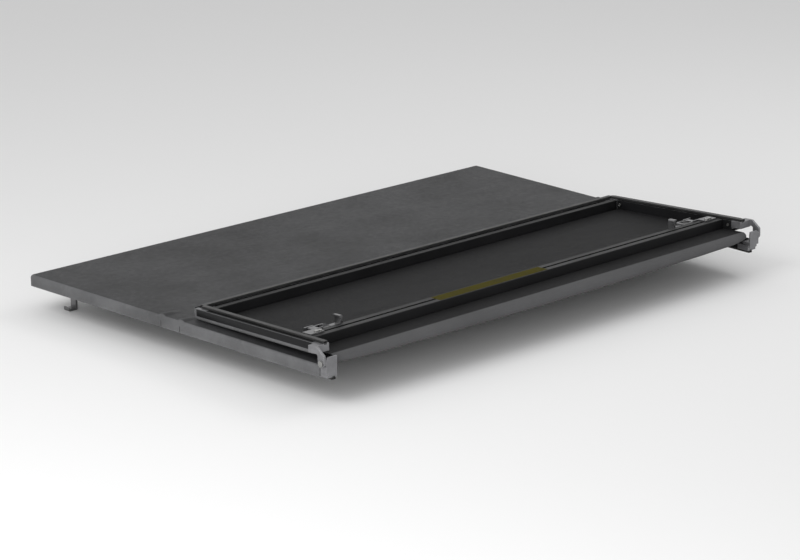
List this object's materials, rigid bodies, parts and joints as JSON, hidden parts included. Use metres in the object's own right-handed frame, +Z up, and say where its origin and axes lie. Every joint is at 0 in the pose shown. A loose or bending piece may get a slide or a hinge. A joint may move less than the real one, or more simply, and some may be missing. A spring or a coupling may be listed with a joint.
{
  "type": "tonneau cover",
  "caption": "Soft tri-fold tonneau cover with hinged framed panels, the rear panel folded forward, and swinging hook clamps",
  "frame": {"origin": "middle of the underside of the seal that lies on the bulkhead, in the plane of the bed rails", "axes": "+X to the passenger side, +Y to the cab, +Z up"},
  "size_m": [1.5672, 1.0495, 0.1508],
  "materials": {
    "vinyl": "matte grained vinyl",
    "frame": "satin black powder coat",
    "casting": "satin die-cast",
    "seal": "matte",
    "hardware": "zinc plated",
    "clamp_metal": "brushed",
    "thumbwheel": "moulded"
  },
  "bodies": {
    "front_panel": {"front_cover": "vinyl", "bulkhead_bow": "frame", "front_hinge_bow": "frame", "bulkhead_seal": "seal", "front_side_seals": "seal", "front_screws": "hardware", "front_clamp_bolts": "hardware", "front_rail_left": "frame", "front_rail_right": "frame", "front_corner_left": "casting", "front_corner_right": "casting", "front_knuckle_left": "casting", "front_knuckle_right": "casting", "front_clamp_bracket_left": "clamp_metal", "front_clamp_bracket_right": "clamp_metal"},
    "spine": {"spine_fabric": "vinyl", "spine_pins": "hardware", "spine_side_seals": "seal", "spine_link_left": "casting", "spine_link_right": "casting"},
    "middle_panel": {"middle_cover": "vinyl", "middle_front_bow": "frame", "middle_rear_bow": "frame", "rear_hinge_pins": "hardware", "hinge_fabric": "vinyl", "middle_side_seals": "seal", "middle_screws": "hardware", "middle_rail_left": "frame", "middle_rail_right": "frame", "middle_knuckle_left": "casting", "middle_knuckle_right": "casting", "rear_hinge_casting_left": "casting", "rear_hinge_casting_right": "casting"},
    "rear_panel": {"rear_cover": "vinyl", "rear_hinge_bow": "frame", "tailgate_bow": "frame", "tailgate_seal": "seal", "rear_side_seals": "seal", "rear_screws": "hardware", "rear_clamp_bolts": "hardware", "rear_rail_left": "frame", "rear_rail_right": "frame", "rear_corner_left": "casting", "rear_corner_right": "casting", "rear_hinge_arm_left": "casting", "rear_hinge_arm_right": "casting", "rear_clamp_bracket_left": "clamp_metal", "rear_clamp_bracket_right": "clamp_metal"},
    "front_left_clamp_yoke": {"front_clamp_yoke_left": "clamp_metal"},
    "front_left_clamp_wheel": {"front_clamp_wheel_left": "thumbwheel"},
    "front_left_clamp_hook": {"front_clamp_hook_left": "clamp_metal"},
    "front_right_clamp_yoke": {"front_clamp_yoke_right": "clamp_metal"},
    "front_right_clamp_wheel": {"front_clamp_wheel_right": "thumbwheel"},
    "front_right_clamp_hook": {"front_clamp_hook_right": "clamp_metal"},
    "rear_left_clamp_yoke": {"rear_clamp_yoke_left": "clamp_metal"},
    "rear_left_clamp_wheel": {"rear_clamp_wheel_left": "thumbwheel"},
    "rear_left_clamp_hook": {"rear_clamp_hook_left": "clamp_metal"},
    "rear_right_clamp_yoke": {"rear_clamp_yoke_right": "clamp_metal"},
    "rear_right_clamp_wheel": {"rear_clamp_wheel_right": "thumbwheel"},
    "rear_right_clamp_hook": {"rear_clamp_hook_right": "clamp_metal"}
  },
  "joints": [
    {"name": "front_fold", "type": "hinge", "parent": "front_panel", "child": "spine", "pos_m": [0, -0.478, 0.029], "axis": [-1, 0, 0], "range_deg": [0, 90]},
    {"name": "middle_fold", "type": "hinge", "parent": "spine", "child": "middle_panel", "pos_m": [0, -0.544, 0.029], "axis": [-1, 0, 0], "range_deg": [0, 90]},
    {"name": "rear_fold", "type": "hinge", "parent": "middle_panel", "child": "rear_panel", "pos_m": [0, -1.024, 0.042], "axis": [1, 0, 0], "range_deg": [0, 182.38], "deforming": ["hinge_fabric"]},
    {"name": "front_left_clamp_swing", "type": "hinge", "parent": "front_panel", "child": "front_left_clamp_yoke", "pos_m": [-0.69394, -0.0495, 0.015], "axis": [0, -1, 0], "range_deg": [0, 90]},
    {"name": "front_left_clamp_screw", "type": "hinge", "parent": "front_left_clamp_yoke", "child": "front_left_clamp_wheel", "pos_m": [-0.69394, -0.0495, 0.015], "axis": [0, 0, 1], "range_deg": [0, 1080]},
    {"name": "front_left_clamp_travel", "type": "slide", "parent": "front_left_clamp_yoke", "child": "front_left_clamp_hook", "axis": [0, 0, -1], "range_m": [0, 0.018]},
    {"name": "front_right_clamp_swing", "type": "hinge", "parent": "front_panel", "child": "front_right_clamp_yoke", "pos_m": [0.69394, -0.0495, 0.015], "axis": [0, 1, 0], "range_deg": [0, 90]},
    {"name": "front_right_clamp_screw", "type": "hinge", "parent": "front_right_clamp_yoke", "child": "front_right_clamp_wheel", "pos_m": [0.69394, -0.0495, 0.015], "axis": [0, 0, 1], "range_deg": [0, 1080]},
    {"name": "front_right_clamp_travel", "type": "slide", "parent": "front_right_clamp_yoke", "child": "front_right_clamp_hook", "axis": [0, 0, -1], "range_m": [0, 0.018]},
    {"name": "rear_left_clamp_swing", "type": "hinge", "parent": "rear_panel", "child": "rear_left_clamp_yoke", "pos_m": [-0.65562, -0.88899, 0.06342], "axis": [0, -0.9991, 0.0415], "range_deg": [0, 90]},
    {"name": "rear_left_clamp_screw", "type": "hinge", "parent": "rear_left_clamp_yoke", "child": "rear_left_clamp_wheel", "pos_m": [-0.65562, -0.88899, 0.06342], "axis": [-1, 0, 0], "range_deg": [0, 1080]},
    {"name": "rear_left_clamp_travel", "type": "slide", "parent": "rear_left_clamp_yoke", "child": "rear_left_clamp_hook", "axis": [1, 0, 0], "range_m": [0, 0.018]},
    {"name": "rear_right_clamp_swing", "type": "hinge", "parent": "rear_panel", "child": "rear_right_clamp_yoke", "pos_m": [0.65562, -0.88899, 0.06342], "axis": [0, 0.9991, -0.0415], "range_deg": [0, 90]},
    {"name": "rear_right_clamp_screw", "type": "hinge", "parent": "rear_right_clamp_yoke", "child": "rear_right_clamp_wheel", "pos_m": [0.65562, -0.88899, 0.06342], "axis": [1, 0, 0], "range_deg": [0, 1080]},
    {"name": "rear_right_clamp_travel", "type": "slide", "parent": "rear_right_clamp_yoke", "child": "rear_right_clamp_hook", "axis": [-1, 0, 0], "range_m": [0, 0.018]}
  ],
  "couplings": [
    {"joint": "front_left_clamp_screw", "follows": "front_left_clamp_travel", "rad_per_m": 1047.2},
    {"joint": "front_right_clamp_screw", "follows": "front_right_clamp_travel", "rad_per_m": 1047.2},
    {"joint": "rear_left_clamp_screw", "follows": "rear_left_clamp_travel", "rad_per_m": 1047.2},
    {"joint": "rear_right_clamp_screw", "follows": "rear_right_clamp_travel", "rad_per_m": 1047.2}
  ]
}
